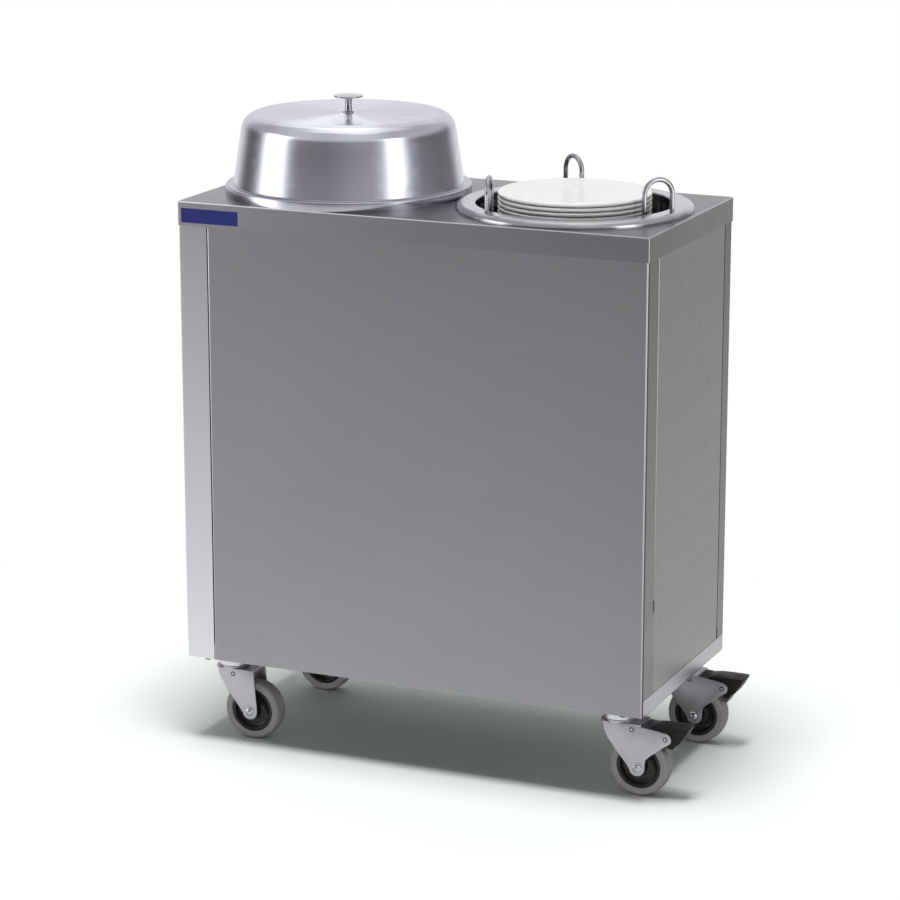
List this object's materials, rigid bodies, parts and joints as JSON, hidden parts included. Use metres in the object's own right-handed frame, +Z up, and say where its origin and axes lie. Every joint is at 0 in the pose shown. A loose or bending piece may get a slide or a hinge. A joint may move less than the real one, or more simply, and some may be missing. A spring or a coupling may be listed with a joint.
{
  "type": "plate dispenser cart",
  "caption": "Steel kitchen cart with sunken sprung plate wells, swinging guide hoops, a stack of plates, a lift-off lid and swivel castors with brakes.",
  "frame": {"origin": "on the floor, under the middle of the cabinet", "axes": "+X towards the end with the brakes, +Y towards the back, +Z up"},
  "size_m": [0.87, 0.403, 1.0745],
  "materials": {
    "cabinet_steel": "satin",
    "bright_steel": "polished",
    "lid_aluminium": "satin",
    "zinc_steel": "satin",
    "spring_steel": "satin",
    "porcelain": "gloss",
    "blank_plate_blue": "satin",
    "dark_plastic": "satin",
    "hub_plastic": "satin",
    "grey_tyre": "matte"
  },
  "bodies": {
    "cabinet": {"worktop": "cabinet_steel", "front_panel": "cabinet_steel", "rear_panel": "cabinet_steel", "left_end_panel": "cabinet_steel", "right_end_panel": "cabinet_steel", "corner_posts": "cabinet_steel", "base_tray": "cabinet_steel", "top_frame": "cabinet_steel", "castor_channels": "zinc_steel", "rim_plate": "blank_plate_blue", "tray_plugs": "dark_plastic", "panel_clips": "dark_plastic", "left_ring": "bright_steel", "right_ring": "bright_steel", "left_hanger": "zinc_steel", "right_hanger": "zinc_steel", "hoop_sockets": "zinc_steel", "guide_rods": "bright_steel", "bottom_rings": "zinc_steel", "rod_nuts": "zinc_steel", "stop_collars": "zinc_steel", "left_springs": "spring_steel", "right_springs": "spring_steel", "castor_plates": "zinc_steel", "castor_bolts": "zinc_steel"},
    "left_carrier": {"left_platform": "zinc_steel", "left_spider": "zinc_steel"},
    "right_carrier": {"right_platform": "zinc_steel", "right_spider": "zinc_steel"},
    "plates": {"plate_stack": "porcelain"},
    "lid": {"lid_shell": "lid_aluminium", "lid_knob": "bright_steel", "knob_screw": "zinc_steel"},
    "left_hoop_side": {"left_hoop_side": "bright_steel"},
    "left_hoop_back": {"left_hoop_back": "bright_steel"},
    "left_hoop_front": {"left_hoop_front": "bright_steel"},
    "right_hoop_side": {"right_hoop_side": "bright_steel"},
    "right_hoop_back": {"right_hoop_back": "bright_steel"},
    "right_hoop_front": {"right_hoop_front": "bright_steel"},
    "castor_front_left": {"fork_front_left": "zinc_steel", "axle_front_left": "zinc_steel"},
    "wheel_front_left": {"hub_front_left": "hub_plastic", "tyre_front_left": "grey_tyre"},
    "castor_front_right": {"fork_front_right": "zinc_steel", "axle_front_right": "zinc_steel"},
    "wheel_front_right": {"hub_front_right": "hub_plastic", "tyre_front_right": "grey_tyre"},
    "brake_front_right": {"pedal_front_right": "dark_plastic", "brake_pad_front_right": "zinc_steel"},
    "castor_rear_left": {"fork_rear_left": "zinc_steel", "axle_rear_left": "zinc_steel"},
    "wheel_rear_left": {"hub_rear_left": "hub_plastic", "tyre_rear_left": "grey_tyre"},
    "castor_rear_right": {"fork_rear_right": "zinc_steel", "axle_rear_right": "zinc_steel"},
    "wheel_rear_right": {"hub_rear_right": "hub_plastic", "tyre_rear_right": "grey_tyre"},
    "brake_rear_right": {"pedal_rear_right": "dark_plastic", "brake_pad_rear_right": "zinc_steel"}
  },
  "joints": [
    {"name": "left_carrier_lift", "type": "slide", "parent": "cabinet", "child": "left_carrier", "axis": [0, 0, 1], "range_m": [-0.45, 0], "stiffness_N_per_m": 777, "springref_m": 0.063, "deforming": ["left_springs"]},
    {"name": "right_carrier_lift", "type": "slide", "parent": "cabinet", "child": "right_carrier", "axis": [0, 0, 1], "range_m": [-0.4, 0.063], "stiffness_N_per_m": 777, "springref_m": 0.11929, "deforming": ["right_springs"]},
    {"name": "plates_lift", "type": "slide", "parent": "right_carrier", "child": "plates", "axis": [0, 0, 1], "range_m": [0, 0.2]},
    {"name": "lid_lift", "type": "slide", "parent": "cabinet", "child": "lid", "axis": [0, 0, 1], "range_m": [0, 0.25]},
    {"name": "left_hoop_side_swing", "type": "hinge", "parent": "cabinet", "child": "left_hoop_side", "pos_m": [-0.02381, -0.01026, 0.925], "axis": [0, 0, 1], "range_deg": [-20, 14]},
    {"name": "left_hoop_back_swing", "type": "hinge", "parent": "cabinet", "child": "left_hoop_back", "pos_m": [-0.26646, 0.15035, 0.925], "axis": [0, 0, 1], "range_deg": [0, 34]},
    {"name": "left_hoop_front_swing", "type": "hinge", "parent": "cabinet", "child": "left_hoop_front", "pos_m": [-0.28423, -0.14009, 0.925], "axis": [0, 0, 1], "range_deg": [-20, 14]},
    {"name": "right_hoop_side_swing", "type": "hinge", "parent": "cabinet", "child": "right_hoop_side", "pos_m": [0.37319, -0.01026, 0.925], "axis": [0, 0, 1], "range_deg": [-20, 14]},
    {"name": "right_hoop_back_swing", "type": "hinge", "parent": "cabinet", "child": "right_hoop_back", "pos_m": [0.13054, 0.15035, 0.925], "axis": [0, 0, 1], "range_deg": [0, 34]},
    {"name": "right_hoop_front_swing", "type": "hinge", "parent": "cabinet", "child": "right_hoop_front", "pos_m": [0.11278, -0.14009, 0.925], "axis": [0, 0, 1], "range_deg": [-20, 14]},
    {"name": "castor_front_left_swivel", "type": "hinge", "parent": "cabinet", "child": "castor_front_left", "pos_m": [-0.345, -0.138, 0.12], "axis": [0, 0, 1], "continuous": true},
    {"name": "wheel_front_left_spin", "type": "hinge", "parent": "castor_front_left", "child": "wheel_front_left", "pos_m": [-0.307, -0.138, 0.05], "axis": [0, 1, 0], "continuous": true},
    {"name": "castor_front_right_swivel", "type": "hinge", "parent": "cabinet", "child": "castor_front_right", "pos_m": [0.345, -0.138, 0.12], "axis": [0, 0, 1], "continuous": true},
    {"name": "wheel_front_right_spin", "type": "hinge", "parent": "castor_front_right", "child": "wheel_front_right", "pos_m": [0.383, -0.138, 0.05], "axis": [0, 1, 0], "continuous": true},
    {"name": "brake_front_right_press", "type": "hinge", "parent": "castor_front_right", "child": "brake_front_right", "pos_m": [0.4305, -0.138, 0.104], "axis": [0, 1, 0], "range_deg": [0, 13]},
    {"name": "castor_rear_left_swivel", "type": "hinge", "parent": "cabinet", "child": "castor_rear_left", "pos_m": [-0.345, 0.138, 0.12], "axis": [0, 0, 1], "continuous": true},
    {"name": "wheel_rear_left_spin", "type": "hinge", "parent": "castor_rear_left", "child": "wheel_rear_left", "pos_m": [-0.307, 0.138, 0.05], "axis": [0, 1, 0], "continuous": true},
    {"name": "castor_rear_right_swivel", "type": "hinge", "parent": "cabinet", "child": "castor_rear_right", "pos_m": [0.345, 0.138, 0.12], "axis": [0, 0, 1], "continuous": true},
    {"name": "wheel_rear_right_spin", "type": "hinge", "parent": "castor_rear_right", "child": "wheel_rear_right", "pos_m": [0.383, 0.138, 0.05], "axis": [0, 1, 0], "continuous": true},
    {"name": "brake_rear_right_press", "type": "hinge", "parent": "castor_rear_right", "child": "brake_rear_right", "pos_m": [0.4305, 0.138, 0.104], "axis": [0, 1, 0], "range_deg": [0, 13]}
  ]
}
